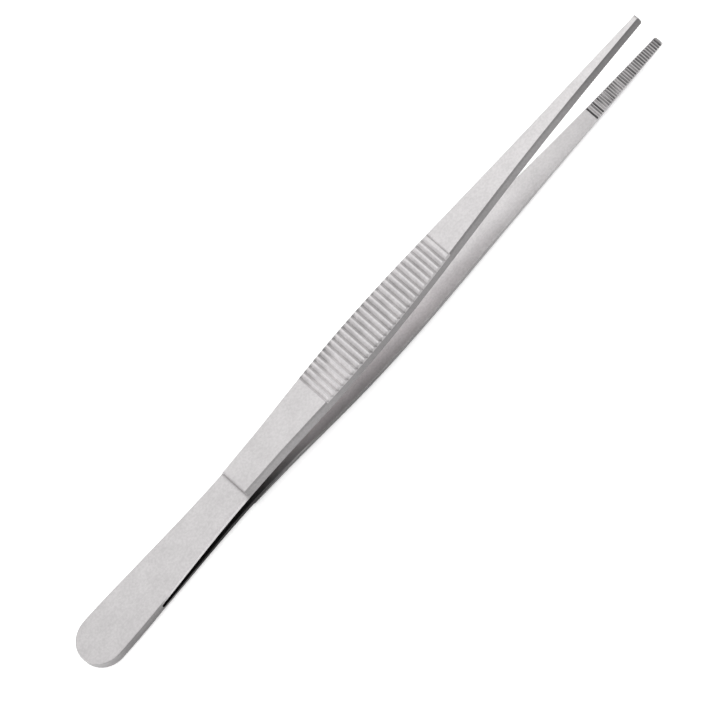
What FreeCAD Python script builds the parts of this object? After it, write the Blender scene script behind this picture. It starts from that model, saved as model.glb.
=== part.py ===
import FreeCAD, Part
import math
import os
from FreeCAD import Vector

# Straight thumb forceps of satin stainless steel, in millimetres.
# Two forged spring arms are welded together at a round heel and ground flush there.
# One arm is built above the forceps' middle plane, with X from the heel to the tips and Y
# across the blade, and the other is its mirror image. The pair is then laid down as it
# rests on a table, on the outer face of the lower arm.

# Places along the forceps, from the end of the heel
LENGTH = 145.0
WELD_LENGTH = 15.8
SHOULDER_X = 39.45
GRIP_X = 67.6
JAW_ROOT_X = 106.0
JAW_MIDDLE_X = 124.0

# Widths of an arm's inner face
HEEL_WIDTH = 9.75
WELD_WIDTH = 9.1
SHOULDER_WIDTH = 7.0
GRIP_WIDTH = 8.75
JAW_ROOT_WIDTH = 5.35
JAW_MIDDLE_WIDTH = 3.45
TIP_WIDTH = 1.95

# Gaps between the two arms when nobody squeezes them
SHOULDER_GAP = 1.6
JAW_ROOT_GAP = 7.3
TIP_GAP = 9.4

# Thickness of one arm
HEEL_THICKNESS = 0.95
SPRING_THICKNESS = 0.8
GRIP_THICKNESS = 1.72
JAW_ROOT_THICKNESS = 1.51
TIP_THICKNESS = 1.18

# Details of the spring, the shoulder and the tip
CROTCH_RADIUS = 0.45
BEND_RADIUS = 60.0
SHOULDER_RUN = 0.3
EDGE_ROUND = 0.2
NOSE_RADIUS = 0.4
TIP_CORNER_RADIUS = 0.5

# Sides past the shoulder: a short upright land at the inner face, a side that leans in as a
# forging's does, and a bevel up to the outer face
SIDE_LAND = 0.15
SIDE_LEAN = 0.35
TIP_SIDE_LEAN = 0.32
BEVEL_INSET = 0.26
BEVEL_DROP = 0.32

# Small break of the inner edges. It fades in along the spring, from a share of its size.
INNER_EDGE_BREAK = 0.06
FADED_SHARE = 0.1

# How many places a side is worked out at, past the shoulder and along the spring
SIDE_STATIONS = 12
SPRING_STATIONS = 5

# Cross grooves of the grip: the ridges are what stands between them. The last groove, next
# to the taper, is a fine line.
GROOVE_COUNT = 27
GROOVE_PITCH = 1.25
GROOVE_WIDTH = 0.92
GROOVE_DEPTH = 0.34
LAST_GROOVE_WIDTH = 0.42
LAST_GROOVE_DEPTH = 0.15
FLAT_BEFORE_GRIP = 21.4

# Cross serrations of the jaws, on the faces that meet when the arms are squeezed
TOOTH_COUNT = 34
TOOTH_PITCH = 0.5
TOOTH_LAND = 0.1
TOOTH_DEPTH = 0.17
TOOTHLESS_TIP = 0.3

# How far a cutting tool stands past the arm
MARGIN = 2.0


class FaceLine:
    """Height of an arm's face above the middle plane: straight, then a tangent arc."""

    def __init__(self, start, bend, end):
        self.start = start
        self.bend = bend
        self.end = end
        self.slope = (bend[1] - start[1]) / (bend[0] - start[0])
        angle = math.atan(self.slope)
        chord = math.hypot(end[0] - bend[0], end[1] - bend[1])
        turn = angle - math.atan2(end[1] - bend[1], end[0] - bend[0])
        radius = chord / (2 * math.sin(turn))
        self.radius = radius
        self.centre = (bend[0] + radius * math.sin(angle), bend[1] - radius * math.cos(angle))

    def height(self, x):
        if x <= self.bend[0]:
            return self.start[1] + self.slope * (x - self.start[0])
        reach = math.sqrt(self.radius ** 2 - (x - self.centre[0]) ** 2)
        return self.centre[1] + math.copysign(reach, self.radius)

    def point(self, x):
        return Vector(x, 0, self.height(x))

    def arc(self, x_from, x_to):
        middle = (x_from + x_to) / 2
        return Part.Arc(self.point(x_from), self.point(middle), self.point(x_to)).toShape()


INNER = FaceLine(
    (SHOULDER_X, SHOULDER_GAP / 2),
    (JAW_ROOT_X, JAW_ROOT_GAP / 2),
    (LENGTH, TIP_GAP / 2))
OUTER = FaceLine(
    (SHOULDER_X, SHOULDER_GAP / 2 + GRIP_THICKNESS),
    (JAW_ROOT_X, JAW_ROOT_GAP / 2 + JAW_ROOT_THICKNESS),
    (LENGTH, TIP_GAP / 2 + TIP_THICKNESS))

# How a jaw's side runs at the tip, seen from above
TIP_SLOPE = (TIP_WIDTH - JAW_MIDDLE_WIDTH) / 2 / (LENGTH - JAW_MIDDLE_X)


def line(start, end):
    return Part.LineSegment(start, end).toShape()


def tip_corner(side):
    """Rounded corner of the tip in plan: the side's end and direction, an arc, the end line."""
    angle = math.atan(TIP_SLOPE)
    along = Vector(math.cos(angle), math.sin(angle), 0)
    inward = Vector(math.sin(angle), -math.cos(angle), 0)
    radius = min(TIP_CORNER_RADIUS, 0.45 * TIP_WIDTH)
    corner = Vector(LENGTH, TIP_WIDTH / 2, 0)
    setback = radius * math.tan((math.pi / 2 + angle) / 2)
    side_end = corner - along * setback
    centre = side_end + inward * radius
    middle = centre + (corner - centre).normalize() * radius
    end_start = corner - Vector(0, setback, 0)
    points = [side_end, along, middle, end_start]
    return [Vector(point.x, side * point.y, 0) for point in points]


def plan_face():
    """Outline of the arm seen from above: round heel, waist, wide grip, slender jaw."""
    radius = HEEL_WIDTH / 2
    stations = [
        (radius, HEEL_WIDTH),
        (WELD_LENGTH, WELD_WIDTH),
        (SHOULDER_X, SHOULDER_WIDTH),
        (GRIP_X, GRIP_WIDTH),
        (JAW_ROOT_X, JAW_ROOT_WIDTH),
        (JAW_MIDDLE_X, JAW_MIDDLE_WIDTH)]
    edges = []
    ends = []
    for side in (1, -1):
        side_end, direction, corner_middle, end_start = tip_corner(side)
        curve = Part.BSplineCurve()
        curve.interpolate(
            Points=[Vector(x, side * width / 2, 0) for x, width in stations] + [side_end],
            InitialTangent=Vector(1, 0, 0),
            FinalTangent=direction)
        edges.append(curve.toShape())
        edges.append(Part.Arc(side_end, corner_middle, end_start).toShape())
        ends.append(end_start)
    edges.append(line(ends[0], ends[1]))
    heel_ends = [Vector(radius, side * radius, 0) for side in (1, -1)]
    edges.append(Part.Arc(heel_ends[0], Vector(0, 0, 0), heel_ends[1]).toShape())
    return Part.Face(Part.Wire(Part.sortEdges(edges)[0]))


PLAN = plan_face()


def half_width(x):
    """Half the width of the inner face along the arm, as if the tip's corners were square."""
    if x > LENGTH - TIP_WIDTH / 2:
        return TIP_WIDTH / 2 + TIP_SLOPE * (x - LENGTH)
    across = line(Vector(x, 0, 0), Vector(x, GRIP_WIDTH + HEEL_WIDTH, 0))
    return PLAN.common(across).Length


def spring_outer_edges():
    """Outer face from the heel to the shoulder: flat, a gentle bend, and flat again."""
    knee = Vector(WELD_LENGTH, 0, HEEL_THICKNESS)
    foot = Vector(SHOULDER_X, 0, SHOULDER_GAP / 2 + SPRING_THICKNESS)
    rise = math.atan2(foot.z - knee.z, foot.x - knee.x)
    reach = BEND_RADIUS * math.tan(rise / 2)
    before = knee - Vector(reach, 0, 0)
    after = knee + Vector(reach * math.cos(rise), 0, reach * math.sin(rise))
    middle = Vector(
        before.x + BEND_RADIUS * math.sin(rise / 2),
        0,
        before.z + BEND_RADIUS * (1 - math.cos(rise / 2)))
    return [
        line(Vector(0, 0, HEEL_THICKNESS), before),
        Part.Arc(before, middle, after).toShape(),
        line(after, foot)]


def side_face():
    """Outline of the arm seen from its edge, between its inner and its outer face."""
    foot = Vector(SHOULDER_X, 0, SHOULDER_GAP / 2 + SPRING_THICKNESS)
    brow = OUTER.point(SHOULDER_X + SHOULDER_RUN)
    nose_start = OUTER.point(LENGTH - NOSE_RADIUS)
    nose_end = Vector(LENGTH, 0, nose_start.z - NOSE_RADIUS)
    turn = NOSE_RADIUS * (1 - math.sqrt(0.5))
    nose_middle = Vector(LENGTH - turn, 0, nose_start.z - turn)
    crotch = Vector(WELD_LENGTH, 0, 0)
    crotch_end = crotch + Vector(CROTCH_RADIUS, 0, CROTCH_RADIUS)
    crotch_turn = CROTCH_RADIUS * (1 - math.sqrt(0.5))
    crotch_middle = crotch + Vector(crotch_turn, 0, CROTCH_RADIUS * math.sqrt(0.5))
    edges = spring_outer_edges()
    edges += [
        line(foot, brow),
        line(brow, OUTER.point(JAW_ROOT_X)),
        OUTER.arc(JAW_ROOT_X, LENGTH - NOSE_RADIUS),
        Part.Arc(nose_start, nose_middle, nose_end).toShape(),
        line(nose_end, INNER.point(LENGTH)),
        INNER.arc(LENGTH, JAW_ROOT_X),
        line(INNER.point(JAW_ROOT_X), INNER.point(SHOULDER_X)),
        line(INNER.point(SHOULDER_X), crotch_end),
        Part.Arc(crotch_end, crotch_middle, crotch).toShape(),
        line(crotch, Vector(0, 0, 0)),
        line(Vector(0, 0, 0), Vector(0, 0, HEEL_THICKNESS))]
    return Part.Face(Part.Wire(edges))


def arm_blank():
    """The arm before its edges, ridges and teeth are cut."""
    height = OUTER.height(LENGTH) + MARGIN
    plan = PLAN.extrude(Vector(0, 0, height))
    reach = max(HEEL_WIDTH, GRIP_WIDTH) / 2 + MARGIN
    side = side_face()
    side.translate(Vector(0, -reach, 0))
    return plan.common(side.extrude(Vector(0, 2 * reach, 0)))


def soften_spring(blank):
    """Rounds the outer edge of the heel and the spring, up to the shoulder."""
    edges = []
    for face in blank.Faces:
        middle = face.CenterOfMass
        outward = face.normalAt(*face.Surface.parameter(middle)).z > 0.9
        if outward and middle.x < SHOULDER_X:
            edges += [edge for edge in face.Edges if edge.BoundBox.XLength > 1.0]
    return blank.makeFillet(min(EDGE_ROUND, 0.4 * SPRING_THICKNESS), edges)


def edge_tool(side, outward, stations):
    """A tool that cuts along one side of the arm; outward is 1 at the outer face, -1 at the
    inner. Each station gives x and the corners of the cut, from the side to the face, as their
    distance in from the side and their height."""
    sections = []
    for x, corners in stations:
        width = half_width(x)
        cut = [Vector(x, side * (width - inset), z) for inset, z in corners]
        before = (cut[0] - cut[1]).normalize() * MARGIN
        after = (cut[-1] - cut[-2]).normalize() * MARGIN
        outside = Vector(x, side * (width + MARGIN), cut[-1].z + outward * MARGIN)
        ends = [cut[0] + before] + cut[1:-1] + [cut[-1] + after, outside, cut[0] + before]
        sections.append(Part.makePolygon(ends))
    return Part.makeLoft(sections, True, False)


def side_tools():
    """Tools that shape the arm's sides from the shoulder to the tip."""
    stations = []
    for step in range(SIDE_STATIONS + 1):
        share = step / SIDE_STATIONS
        x = SHOULDER_X + share * (LENGTH + MARGIN - SHOULDER_X)
        lean = SIDE_LEAN + share * (TIP_SIDE_LEAN - SIDE_LEAN)
        foot = INNER.height(x) + (SIDE_LAND if step else SPRING_THICKNESS)
        top = OUTER.height(x)
        corners = [(0, foot), (lean, top - BEVEL_DROP), (lean + BEVEL_INSET, top)]
        stations.append((x, corners))
    return [edge_tool(side, 1, stations) for side in (1, -1)]


def inner_edge_tools():
    """Wedges that break the inner edges: they fade in along the spring and run to the tip."""
    start = WELD_LENGTH + CROTCH_RADIUS
    stations = []
    for step in range(SPRING_STATIONS):
        share = step / SPRING_STATIONS
        x = start + share * (SHOULDER_X - start)
        z = CROTCH_RADIUS + share * (SHOULDER_GAP / 2 - CROTCH_RADIUS)
        size = INNER_EDGE_BREAK * max(share, FADED_SHARE)
        stations.append((x, [(0, z + size), (size, z)]))
    for step in range(SIDE_STATIONS + 1):
        x = SHOULDER_X + step / SIDE_STATIONS * (LENGTH + MARGIN - SHOULDER_X)
        z = INNER.height(x)
        stations.append((x, [(0, z + INNER_EDGE_BREAK), (INNER_EDGE_BREAK, z)]))
    return [edge_tool(side, -1, stations) for side in (1, -1)]


def notch_tool(x, z, width, depth, into, reach):
    """A V notch across a face at x and z; into is -1 for one cut down, 1 for one cut up."""
    flare = width / 16
    over = 2 * flare * depth / width
    start = Vector(x - width / 2 - flare, -reach, z - into * over)
    root = Vector(x, -reach, z + into * depth)
    end = Vector(x + width / 2 + flare, -reach, z - into * over)
    notch = Part.Face(Part.makePolygon([start, root, end, start]))
    return notch.extrude(Vector(0, 2 * reach, 0))


def groove_tools():
    """One wedge for each groove across the grip."""
    reach = GRIP_WIDTH / 2 + MARGIN
    tools = []
    for number in range(GROOVE_COUNT):
        last = number == GROOVE_COUNT - 1
        width = LAST_GROOVE_WIDTH if last else GROOVE_WIDTH
        depth = LAST_GROOVE_DEPTH if last else GROOVE_DEPTH
        x = SHOULDER_X + FLAT_BEFORE_GRIP + number * GROOVE_PITCH
        tools.append(notch_tool(x, OUTER.height(x), width, depth, -1, reach))
    return tools


def tooth_tools(shift):
    """One wedge for each notch across the jaw; a shift of half a pitch makes jaws that mesh."""
    reach = JAW_ROOT_WIDTH / 2 + MARGIN
    mouth = TOOTH_PITCH - TOOTH_LAND
    tools = []
    for number in range(TOOTH_COUNT):
        x = LENGTH - TOOTHLESS_TIP - (number + shift) * TOOTH_PITCH
        tools.append(notch_tool(x, INNER.height(x), mouth, TOOTH_DEPTH, 1, reach))
    return tools


def arm(tooth_shift):
    """The upper arm, above the middle plane."""
    edged = soften_spring(arm_blank())
    for tool in side_tools() + inner_edge_tools():
        edged = edged.cut(tool)
    ridged = edged.cut(Part.makeCompound(groove_tools()))
    return ridged.cut(Part.makeCompound(tooth_tools(tooth_shift)))


def laid_down(shapes):
    """Turns the pair so that the lower arm's straight outer face lies on the table."""
    tilt = math.degrees(math.atan(OUTER.slope))
    pair = [shape.copy() for shape in shapes]
    for shape in pair:
        shape.rotate(Vector(0, 0, 0), Vector(0, 1, 0), -tilt)
    box = Part.makeCompound(pair).optimalBoundingBox()
    for shape in pair:
        shape.translate(Vector(-(box.XMin + box.XMax) / 2, 0, -box.ZMin))
    return pair


upper = arm(0.0)
lower = arm(0.5).mirror(Vector(0, 0, 0), Vector(0, 0, 1))
upper, lower = laid_down([upper, lower])
os.makedirs("parts", exist_ok=True)
for node, shape in (("upper_arm", upper), ("lower_arm", lower)):
    shape.exportStep(f"parts/{node}.step")
    print(node, shape.ShapeType, len(shape.Solids), shape.isValid(), round(shape.Volume, 2))
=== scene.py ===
import math

import bpy
from mathutils import Matrix, Vector

# Straight thumb forceps of satin stainless steel, lying on a pale table under soft light.
# The two arms keep the shape that the frame gives them, and get their finish here, with
# painted light and shade in it.

MM = 0.001

# The camera, fitted to the photograph
PHOTO_PIXELS = 716
PIXELS_PER_MM = 5.8411
CAMERA_AZIMUTH = 5.331
CAMERA_ELEVATION = 58.306
CAMERA_ROLL = -42.479
CAMERA_DISTANCE = 2250.0 * MM
CAMERA_AIM = Vector((-2.772, -0.302, 3.489)) * MM
SENSOR_WIDTH = 36.0
NEAREST_SEEN = 0.1
FURTHEST_SEEN = 20.0

# A round length that the whole of the forceps fits in, for the ramps along it
LONGEST = 150.0 * MM

# Floor, light and surroundings. The floor glows a little, which keeps it white. The sky
# brightens from the horizon up to BRIGHT_FROM, and a little towards -X.
FLOOR_SIZE = 8.0
FLOOR_DROP = 0.02 * MM
FLOOR_COLOUR = (0.92, 0.92, 0.92, 1.0)
FLOOR_GLOW = 0.3
FLOOR_ROUGHNESS = 0.9
HORIZON_LIGHT = 0.6
ZENITH_LIGHT = 1.4
BRIGHT_FROM = 0.5
SIDE_LIGHT = 0.15
KEY_DISTANCE = 0.8
KEY_SIZE = 0.5
KEY_RADIANCE = 0.3
KEY_DIRECTION = (-0.13, 0.53, 0.84)

# Steel: its tint, and how light its base colour is along the forceps, as a shade at each place
# in millimetres from the middle. The shades were set by comparing renders with the photograph,
# so they hold painted light and shade besides the steel's own tone: the faces are painted
# brighter towards the tips, the springs have painted bright edges, the sides carry painted
# reflections, and the hollow between the springs is painted dark.
TINT = (1.0, 0.972, 0.978)
# Outer faces: the steel's tone, painted brighter towards the tips, with painted shade on the
# upper tip's nose
FACE_TONE_AND_PAINTED_LIGHT = (
    (-72, 0.38), (-62, 0.405), (-26, 0.415), (-14, 0.435), (26, 0.455), (60, 0.5), (71.9, 0.5),
    (72.4, 0.2))
# Upper sides: painted reflection, bright along the springs, darker past the shoulder and
# towards the tips
UPPER_SIDE_PAINTED_REFLECTION = (
    (-71, 0.32), (-66, 0.2), (-57, 0.2), (-54, 0.56), (-34, 0.56), (-33, 0.27), (-15, 0.25),
    (-2, 0.195), (48, 0.215), (60, 0.155))
# Lower sides: painted shade, near black along the springs, lighter towards the tips
LOWER_SIDE_PAINTED_SHADE = (
    (-71, 0.32), (-66, 0.2), (-57, 0.17), (-46, 0.02), (-33, 0.025), (-20, 0.085), (-4, 0.085),
    (18, 0.22), (45, 0.37), (55, 0.45))
# Inner faces: painted shade, darkest in the hollow between the springs and at the lower jaw's
# tip
INNER_PAINTED_SHADE = (
    (-57, 0.1), (-34, 0.13), (-26, 0.47), (-18, 0.65), (10, 0.68), (30, 0.52), (50, 0.425),
    (71.4, 0.43), (71.9, 0.22))

# Painted shade on the inner faces: what they lose towards their near edge, at -Y
INNER_EDGE_PAINTED_SHADE = ((-30, 0.4), (8, 0.3), (28, 0.0))
INNER_EDGE_SHADE_BAND = (-4.4 * MM, -1.4 * MM)

# Past SPRING_FROM the rounded outer edges have a painted highlight. The step at the shoulder
# has a painted light of its own, and a fine line along it on the outer face has painted shade.
SPRING_FROM = -57.0 * MM
SPRING_EDGE_PAINTED_HIGHLIGHT = 1.12
SHOULDER_PLACE = -33.05 * MM
SHOULDER_SHADE_BAND = (0.15 * MM, 0.5 * MM)
SHOULDER_PAINTED_SHADE = 0.8
STEP_REACH = 0.5 * MM
STEP_PAINTED_LIGHT = 0.58

# The grip. A groove's walls go from the first shade, on the one that looks at the heel, to the
# second, as painted light from the heel's side. The crests have a painted highlight, so do the
# ridges' ends on the upper arm's bevel, and the grooves' ends have painted shade.
RIDGES_FROM = -12.2 * MM
RIDGES_TO = 20.6 * MM
WALL_SLOPES = (-0.5, 0.5)
WALL_PAINTED_LIGHT = (1.14, 0.97)
CREST_PAINTED_HIGHLIGHT = 1.04
RIDGE_END_PAINTED_HIGHLIGHT = 2.1
GROOVE_END_BAND = (3.2 * MM, 3.8 * MM)
GROOVE_END_PAINTED_SHADE = 0.72

# The grip's first ridges are painted faint from the middle of the face to its near edge: how
# far they are at each place along the forceps, and how much painted light lifts the grooves and
# painted shade darkens the crests there
FAINT_RIDGES = ((-9.5, 1.0), (-6.5, 0.9), (-4.0, 0.3), (-1.5, 0.0))
FAINT_BAND = (0.2 * MM, 2.6 * MM)
FAINT_GROOVE_PAINTED_LIGHT = 0.28
FAINT_CREST_PAINTED_SHADE = 0.11

# The serrated jaws: darker towards the tips, and with stains that fade out there
TOOTH_SHADES = ((56, 0.88), (59, 0.97), (62, 0.9), (66, 0.8), (69, 0.68))
STAIN_RANGE = (0.3, 1.3)
STAIN_MEAN = 0.8
STAIN_SHARES = ((61, 1.0), (68, 0.3))

# Noises of the finish: features per metre along each axis, the band of the noise that is used,
# and the numbers that its two ends give
STAIN_SCALE = (1400.0, 60.0, 0.0)
STAIN_BAND = (0.42, 0.58)
POLISH_SCALE = (420.0, 240.0, 0.0)
CLOUD_SCALE = (260.0, 260.0, 260.0)
FROST_SCALE = (2400.0, 2400.0, 2400.0)
NOISE_BAND = (0.3, 0.7)
POLISH_RANGE = (0.92, 1.08)
CLOUD_RANGE = (0.955, 1.02)
FROST_RANGE = (-0.06, 0.06)
GRAIN_SCALE = (500.0, 9000.0, 9000.0)
GRAIN_BAND = (0.25, 0.75)
GRAIN_RANGE = (-0.03, 0.03)
ROUGHNESS_RANGE = (0.33, 0.41)
BUMP_STRENGTH = 0.25
BUMP_DEPTH = 0.004 * MM

# Where one kind of face ends and the next begins, by the size of a part of its normal: its
# Z for the sides and their bevels, its X for grooves, serrations and the step, and its Y
# for the rounded edges
SIDE_NORMALS = (0.66, 0.77)
BEVEL_NORMALS = (0.4, 0.55)
NOTCH_NORMALS = (0.3, 0.5)
STEP_NORMAL = 0.8
ROUNDED_NORMALS = (0.1, 0.4)

# The forceps' middle plane rises from the heel to the tips, between the two arms. What is above
# it is the upper arm's. A face that looks at it is an inner face.
MIDDLE_HEIGHT = 3.832 * MM
MIDDLE_SLOPE = 0.03967
UPPER_BAND = (-0.05 * MM, 0.05 * MM)
INNER_BAND = (-0.15 * MM, -0.02 * MM)


class Nodes:
    """Short calls for building the node tree of a material or of the world."""

    def __init__(self, owner):
        owner.use_nodes = True
        self.tree = owner.node_tree
        self.tree.nodes.clear()

    def add(self, kind, **settings):
        node = self.tree.nodes.new(kind)
        for name, value in settings.items():
            setattr(node, name, value)
        return node

    def put(self, socket, value):
        """Links an output socket to an input, or sets the input's own value."""
        if isinstance(value, bpy.types.NodeSocket):
            self.tree.links.new(value, socket)
        else:
            socket.default_value = value

    def math(self, operation, *values):
        node = self.add("ShaderNodeMath", operation=operation)
        for socket, value in zip(node.inputs, values):
            self.put(socket, value)
        return node.outputs[0]

    def times(self, first, *others):
        """The product of all the values."""
        product = first
        for value in others:
            product = self.math("MULTIPLY", product, value)
        return product

    def ramp(self, value, low, high, to_low, to_high):
        """A number that goes smoothly from to_low to to_high as the value crosses the band."""
        node = self.add("ShaderNodeMapRange", interpolation_type="SMOOTHSTEP")
        for name, number in (
                ("Value", value),
                ("From Min", low),
                ("From Max", high),
                ("To Min", to_low),
                ("To Max", to_high)):
            self.put(node.inputs[name], number)
        return node.outputs["Result"]

    def mix(self, share, first, second):
        """The first number, or the second as far as the share goes."""
        node = self.add("ShaderNodeMix", data_type="FLOAT")
        self.put(node.inputs["Factor"], share)
        self.put(node.inputs["A"], first)
        self.put(node.inputs["B"], second)
        return node.outputs["Result"]

    def along(self, x, stops):
        """A number that runs along X through the stops, each a place in mm and its number."""
        node = self.add("ShaderNodeValToRGB")
        self.put(node.inputs["Fac"], self.math("MULTIPLY_ADD", x, 1 / LONGEST, 0.5))
        elements = node.color_ramp.elements
        elements.remove(elements[1])
        for number, (place, value) in enumerate(stops):
            position = place * MM / LONGEST + 0.5
            element = elements.new(position) if number else elements[0]
            element.position = position
            element.color = (value, value, value, 1.0)
        return node.outputs["Color"]

    def split(self, vector):
        node = self.add("ShaderNodeSeparateXYZ")
        self.put(node.inputs[0], vector)
        return node.outputs

    def place(self):
        """The object's own coordinates."""
        return self.add("ShaderNodeTexCoord").outputs["Object"]

    def noise(self, scale, detail=2.0, roughness=0.5):
        """Noise over the object's own coordinates, with features per metre given per axis."""
        mapping = self.add("ShaderNodeMapping")
        self.put(mapping.inputs["Scale"], scale)
        self.put(mapping.inputs["Vector"], self.place())
        noise = self.add("ShaderNodeTexNoise")
        self.put(noise.inputs["Vector"], mapping.outputs["Vector"])
        self.put(noise.inputs["Scale"], 1.0)
        self.put(noise.inputs["Detail"], detail)
        self.put(noise.inputs["Roughness"], roughness)
        return noise.outputs["Fac"]


def principled(name):
    """A new material, its nodes, and the shader that gives it its surface."""
    material = bpy.data.materials.new(name)
    nodes = Nodes(material)
    shader = nodes.add("ShaderNodeBsdfPrincipled")
    output = nodes.add("ShaderNodeOutputMaterial")
    nodes.put(output.inputs["Surface"], shader.outputs["BSDF"])
    return material, nodes, shader


def tooth_shade(nodes, x):
    """Shade of the jaws' serrations, with stains in streaks across the jaw."""
    stains = nodes.ramp(nodes.noise(STAIN_SCALE, detail=1.0), *STAIN_BAND, *STAIN_RANGE)
    stained = nodes.mix(nodes.along(x, STAIN_SHARES), STAIN_MEAN, stains)
    return nodes.times(stained, nodes.along(x, TOOTH_SHADES))


def grip_tone_and_painted_light(nodes, x, y, slope):
    """Shade of the grip's grooves, and shade of the crests between them, with painted light and
    shade.
    """
    faint = nodes.times(nodes.along(x, FAINT_RIDGES), nodes.ramp(y, *FAINT_BAND, 1.0, 0.0))
    groove = nodes.times(
        nodes.ramp(nodes.noise(POLISH_SCALE), *NOISE_BAND, *POLISH_RANGE),
        nodes.ramp(slope, *WALL_SLOPES, *WALL_PAINTED_LIGHT),
        nodes.ramp(nodes.math("ABSOLUTE", y), *GROOVE_END_BAND, 1.0, GROOVE_END_PAINTED_SHADE),
        nodes.math("MULTIPLY_ADD", faint, FAINT_GROOVE_PAINTED_LIGHT, 1.0))
    crest = nodes.math("MULTIPLY_ADD", faint, -FAINT_CREST_PAINTED_SHADE, CREST_PAINTED_HIGHLIGHT)
    return groove, crest


def inner_painted_shade(nodes, x, y):
    """Painted shade of the faces that look at the other arm, darker towards their near edge."""
    loss = nodes.times(
        nodes.ramp(y, *INNER_EDGE_SHADE_BAND, 1.0, 0.0), nodes.along(x, INNER_EDGE_PAINTED_SHADE))
    return nodes.times(nodes.along(x, INNER_PAINTED_SHADE), nodes.math("SUBTRACT", 1.0, loss))


def steel_tone_and_painted_light(nodes):
    """How light the steel's base colour is, by which face of which arm it is and where: its own
    tone with painted light and shade.
    """
    x, y, z = nodes.split(nodes.place())
    normal = nodes.split(nodes.add("ShaderNodeNewGeometry").outputs["Normal"])
    upright = nodes.math("ABSOLUTE", normal["Z"])
    sloped = nodes.math("ABSOLUTE", normal["X"])
    sideways = nodes.math("ABSOLUTE", normal["Y"])
    middle = nodes.math("MULTIPLY_ADD", x, MIDDLE_SLOPE, MIDDLE_HEIGHT)
    above = nodes.math("SUBTRACT", z, middle)
    outward = nodes.times(above, normal["Z"])
    from_shoulder = nodes.math("ABSOLUTE", nodes.math("SUBTRACT", x, SHOULDER_PLACE))

    is_side = nodes.ramp(upright, *SIDE_NORMALS, 1.0, 0.0)
    is_bevel = nodes.ramp(upright, *BEVEL_NORMALS, 0.0, 1.0)
    is_notch = nodes.ramp(sloped, *NOTCH_NORMALS, 0.0, 1.0)
    is_upper = nodes.ramp(above, *UPPER_BAND, 0.0, 1.0)
    is_inner = nodes.ramp(outward, *INNER_BAND, 1.0, 0.0)
    is_ridged = nodes.times(
        nodes.math("GREATER_THAN", x, RIDGES_FROM), nodes.math("LESS_THAN", x, RIDGES_TO))
    is_ridge_end = nodes.times(is_ridged, is_upper, is_bevel)
    is_step = nodes.times(
        nodes.math("GREATER_THAN", sloped, STEP_NORMAL),
        nodes.math("LESS_THAN", from_shoulder, STEP_REACH))
    is_rounded = nodes.times(
        nodes.ramp(sideways, *ROUNDED_NORMALS, 0.0, 1.0),
        nodes.math("GREATER_THAN", x, SPRING_FROM))

    groove, crest = grip_tone_and_painted_light(nodes, x, y, normal["X"])
    notch = nodes.mix(is_inner, groove, tooth_shade(nodes, x))
    smooth = nodes.mix(nodes.math("SUBTRACT", is_ridged, is_inner), 1.0, crest)
    outer = nodes.times(
        nodes.along(x, FACE_TONE_AND_PAINTED_LIGHT),
        nodes.ramp(from_shoulder, *SHOULDER_SHADE_BAND, SHOULDER_PAINTED_SHADE, 1.0))
    face = nodes.times(
        nodes.mix(is_inner, outer, inner_painted_shade(nodes, x, y)),
        nodes.mix(is_notch, smooth, notch),
        nodes.mix(is_rounded, 1.0, SPRING_EDGE_PAINTED_HIGHLIGHT))
    side = nodes.times(
        nodes.mix(
            is_upper, nodes.along(x, LOWER_SIDE_PAINTED_SHADE), nodes.along(x, UPPER_SIDE_PAINTED_REFLECTION)),
        nodes.mix(is_ridge_end, 1.0, RIDGE_END_PAINTED_HIGHLIGHT))
    return nodes.mix(is_side, face, nodes.mix(is_step, side, STEP_PAINTED_LIGHT))


def satin_steel(name):
    """Satin ground steel: its shade by place, with painted light and shade, faint clouds, frost
    and a grain along X.
    """
    material, nodes, shader = principled(name)
    nodes.put(shader.inputs["Metallic"], 1.0)

    clouds = nodes.noise(CLOUD_SCALE, detail=3.0)
    grain = nodes.noise(GRAIN_SCALE)
    frost = nodes.noise(FROST_SCALE, roughness=0.6)
    wear = nodes.math(
        "ADD",
        nodes.ramp(clouds, *NOISE_BAND, *CLOUD_RANGE),
        nodes.math(
            "ADD",
            nodes.ramp(grain, *GRAIN_BAND, *GRAIN_RANGE),
            nodes.ramp(frost, *NOISE_BAND, *FROST_RANGE)))
    base = nodes.add("ShaderNodeVectorMath", operation="SCALE")
    nodes.put(base.inputs[0], TINT)
    nodes.put(base.inputs["Scale"], nodes.times(steel_tone_and_painted_light(nodes), wear))
    nodes.put(shader.inputs["Base Color"], base.outputs[0])

    rough = nodes.ramp(grain, *GRAIN_BAND, *ROUGHNESS_RANGE)
    nodes.put(shader.inputs["Roughness"], rough)
    bump = nodes.add("ShaderNodeBump")
    nodes.put(bump.inputs["Strength"], BUMP_STRENGTH)
    nodes.put(bump.inputs["Distance"], BUMP_DEPTH)
    nodes.put(bump.inputs["Height"], grain)
    nodes.put(shader.inputs["Normal"], bump.outputs["Normal"])
    return material


def pale_floor():
    """A plain pale table, a hair below the forceps."""
    material, nodes, shader = principled("pale_table")
    nodes.put(shader.inputs["Base Color"], FLOOR_COLOUR)
    nodes.put(shader.inputs["Roughness"], FLOOR_ROUGHNESS)
    nodes.put(shader.inputs["Specular IOR Level"], 0.0)
    nodes.put(shader.inputs["Emission Color"], FLOOR_COLOUR)
    nodes.put(shader.inputs["Emission Strength"], FLOOR_GLOW)
    half = FLOOR_SIZE / 2
    corners = [(-half, -half), (half, -half), (half, half), (-half, half)]
    mesh = bpy.data.meshes.new("floor")
    mesh.from_pydata([(x, y, -FLOOR_DROP) for x, y in corners], [], [(0, 1, 2, 3)])
    mesh.materials.append(material)
    floor = bpy.data.objects.new("floor", mesh)
    bpy.context.scene.collection.objects.link(floor)


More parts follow.
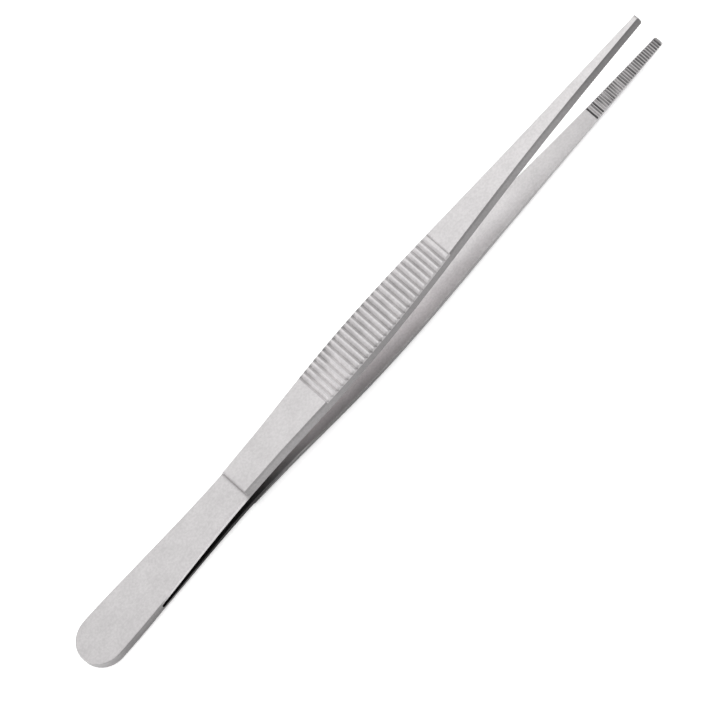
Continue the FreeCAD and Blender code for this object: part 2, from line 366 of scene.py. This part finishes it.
def softbox(name, direction, distance, size, radiance):
    """A square area light that faces the forceps, with the brightness that its face shows."""
    light = bpy.data.lights.new(name, "AREA")
    light.shape = "SQUARE"
    light.size = size
    light.energy = radiance * math.pi * size * size
    box = bpy.data.objects.new(name, light)
    away = Vector(direction).normalized()
    box.location = CAMERA_AIM + away * distance
    box.rotation_mode = "QUATERNION"
    box.rotation_quaternion = away.to_track_quat("Z", "Y")
    box.visible_camera = False
    bpy.context.scene.collection.objects.link(box)


def surroundings():
    """A pale studio all round: darker at the horizon, brighter above."""
    world = bpy.data.worlds.new("studio")
    nodes = Nodes(world)
    background = nodes.add("ShaderNodeBackground")
    output = nodes.add("ShaderNodeOutputWorld")
    nodes.put(output.inputs["Surface"], background.outputs["Background"])
    direction = nodes.split(nodes.add("ShaderNodeTexCoord").outputs["Generated"])
    height = nodes.ramp(direction["Z"], 0.0, BRIGHT_FROM, HORIZON_LIGHT, ZENITH_LIGHT)
    light = nodes.math("MULTIPLY_ADD", direction["X"], -SIDE_LIGHT, height)
    nodes.put(background.inputs["Strength"], light)
    nodes.put(background.inputs["Color"], (1.0, 1.0, 1.0, 1.0))
    bpy.context.scene.world = world
    bpy.context.scene.view_settings.view_transform = "Standard"


def camera():
    """The photograph's camera: a long lens, turned so that the forceps cross the frame."""
    azimuth = math.radians(CAMERA_AZIMUTH)
    elevation = math.radians(CAMERA_ELEVATION)
    roll = math.radians(CAMERA_ROLL)
    forward = Vector((
        math.sin(azimuth) * math.cos(elevation),
        math.cos(azimuth) * math.cos(elevation),
        -math.sin(elevation)))
    level = Vector((math.cos(azimuth), -math.sin(azimuth), 0.0))
    upright = level.cross(forward)
    right = level * math.cos(roll) + upright * math.sin(roll)
    up = upright * math.cos(roll) - level * math.sin(roll)
    data = bpy.data.cameras.new("photo_camera")
    data.type = "PERSP"
    data.sensor_width = SENSOR_WIDTH
    view_width = PHOTO_PIXELS / PIXELS_PER_MM * MM
    data.lens = SENSOR_WIDTH * CAMERA_DISTANCE / view_width
    data.clip_start = NEAREST_SEEN
    data.clip_end = FURTHEST_SEEN
    seen_from = bpy.data.objects.new("photo_camera", data)
    turn = Matrix((right, up, -forward)).transposed()
    seen_from.rotation_mode = "QUATERNION"
    seen_from.rotation_quaternion = turn.to_quaternion()
    seen_from.location = CAMERA_AIM - forward * CAMERA_DISTANCE
    bpy.context.scene.collection.objects.link(seen_from)
    bpy.context.scene.camera = seen_from


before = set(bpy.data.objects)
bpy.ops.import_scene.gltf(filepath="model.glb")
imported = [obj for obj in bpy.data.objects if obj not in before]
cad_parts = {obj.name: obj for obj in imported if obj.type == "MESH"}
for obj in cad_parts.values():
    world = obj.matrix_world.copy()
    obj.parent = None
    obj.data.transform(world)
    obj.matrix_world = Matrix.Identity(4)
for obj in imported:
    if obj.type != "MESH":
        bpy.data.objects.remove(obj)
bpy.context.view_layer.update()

steel = satin_steel("satin_steel")
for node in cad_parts.values():
    for slot in node.material_slots:
        slot.material = steel

pale_floor()
softbox("key", KEY_DIRECTION, KEY_DISTANCE, KEY_SIZE, KEY_RADIANCE)
surroundings()
camera()
